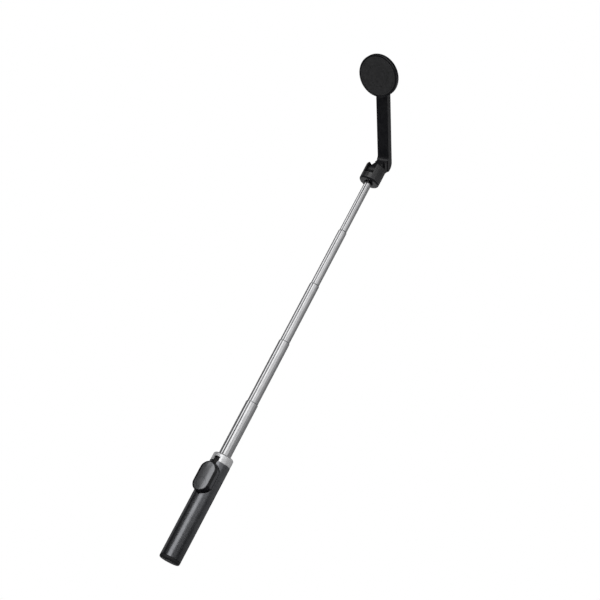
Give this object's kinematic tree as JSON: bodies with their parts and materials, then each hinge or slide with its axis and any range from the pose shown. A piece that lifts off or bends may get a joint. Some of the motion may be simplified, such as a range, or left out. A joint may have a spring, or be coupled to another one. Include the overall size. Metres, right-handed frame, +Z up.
{
  "type": "telescopic selfie stick",
  "caption": "Extended telescopic selfie stick: round grip with clip-on remote, nested steel tubes, and a forked head whose folding arm carries a swivelling magnetic phone plate.",
  "frame": {"origin": "centre of the handle's flat bottom face", "axes": "+Z up along the telescopic tubes to the head, -Y towards the front (the remote's side, and the way the phone plate leans), +X to the right as the front is looked at"},
  "size_m": [0.056, 0.1375, 0.6709],
  "materials": {
    "grip_black": "dark gunmetal satin lacquer with a fine orange peel",
    "cap_black": "matt black moulding with a fine spark-eroded grain",
    "nylon": "dark nylon, dull sheen",
    "silver_collar": "bright silver, fine bead-blasted anodising",
    "nickel": "nickel plated",
    "remote_black": "semi-gloss black",
    "remote_grey": "smoky grey satin lacquer with a metallic fleck, slightly domed",
    "circuit_board": "green solder mask",
    "polished_steel": "polished stainless steel drawn lengthways",
    "hardware_steel": "zinc plated steel",
    "head_black": "satin black moulding with an even grain",
    "arm_black": "satin black powder coat with a fine peel",
    "pad_black": "soft matt silicone"
  },
  "bodies": {
    "grip": {"handle_shell": "grip_black", "base_cap": "cap_black", "guide_sleeve": "nylon", "throat_bush": "nylon", "collar_seat": "cap_black", "collar": "silver_collar", "remote_cradle": "grip_black", "cradle_tongue": "cap_black", "cradle_magnet_lower": "nickel", "cradle_magnet_upper": "nickel"},
    "clip_remote": {"remote_case": "remote_black", "remote_cell_door": "remote_black", "remote_cell": "nickel", "remote_board": "circuit_board", "shutter_switch": "hardware_steel", "remote_face": "remote_grey"},
    "shutter": {"shutter_button": "remote_grey"},
    "section_1": {"tube_1": "polished_steel", "tube_1_bush": "nylon"},
    "section_2": {"tube_2": "polished_steel", "tube_2_bush": "nylon"},
    "section_3": {"tube_3": "polished_steel", "tube_3_bush": "nylon"},
    "section_4": {"tube_4": "polished_steel", "tube_4_bush": "nylon"},
    "section_5": {"tube_5": "polished_steel", "tube_5_bush": "nylon", "head_cover": "head_black", "head_grub_screw": "hardware_steel", "hinge_screw": "hardware_steel", "hinge_nut": "hardware_steel", "hinge_cap_right": "head_black", "hinge_cap_left": "head_black", "friction_washer_right": "hardware_steel", "friction_washer_left": "hardware_steel"},
    "tilting_arm": {"arm": "arm_black", "arm_screw_cap": "head_black"},
    "phone_plate": {"mount_shell": "arm_black", "mount_pad": "pad_black", "magnet_ring": "nickel", "yoke_ring": "hardware_steel", "swivel_screw": "hardware_steel", "swivel_nut": "hardware_steel", "swivel_washer": "nylon"}
  },
  "joints": [
    {"name": "slide_1", "type": "slide", "parent": "grip", "child": "section_1", "axis": [0, 0, -1], "range_m": [0, 0.0733]},
    {"name": "slide_2", "type": "slide", "parent": "section_1", "child": "section_2", "axis": [0, 0, -1], "range_m": [0, 0.0873]},
    {"name": "slide_3", "type": "slide", "parent": "section_2", "child": "section_3", "axis": [0, 0, -1], "range_m": [0, 0.0843]},
    {"name": "slide_4", "type": "slide", "parent": "section_3", "child": "section_4", "axis": [0, 0, -1], "range_m": [0, 0.0813]},
    {"name": "slide_5", "type": "slide", "parent": "section_4", "child": "section_5", "axis": [0, 0, -1], "range_m": [0, 0.0768]},
    {"name": "arm_tilt", "type": "hinge", "parent": "section_5", "child": "tilting_arm", "pos_m": [0, 0, 0.568], "axis": [1, 0, 0], "range_deg": [-55.7, 124.3]},
    {"name": "plate_swivel", "type": "hinge", "parent": "tilting_arm", "child": "phone_plate", "pos_m": [0, -0.09645, 0.65038], "axis": [0, -0.5635, -0.8261], "range_deg": [-90, 90]},
    {"name": "remote_lift", "type": "slide", "parent": "grip", "child": "clip_remote", "axis": [0, 1, 0], "range_m": [-0.02, 0]},
    {"name": "shutter_press", "type": "slide", "parent": "clip_remote", "child": "shutter", "axis": [0, 1, 0], "range_m": [0, 0.0004], "stiffness_N_per_m": 3000}
  ]
}
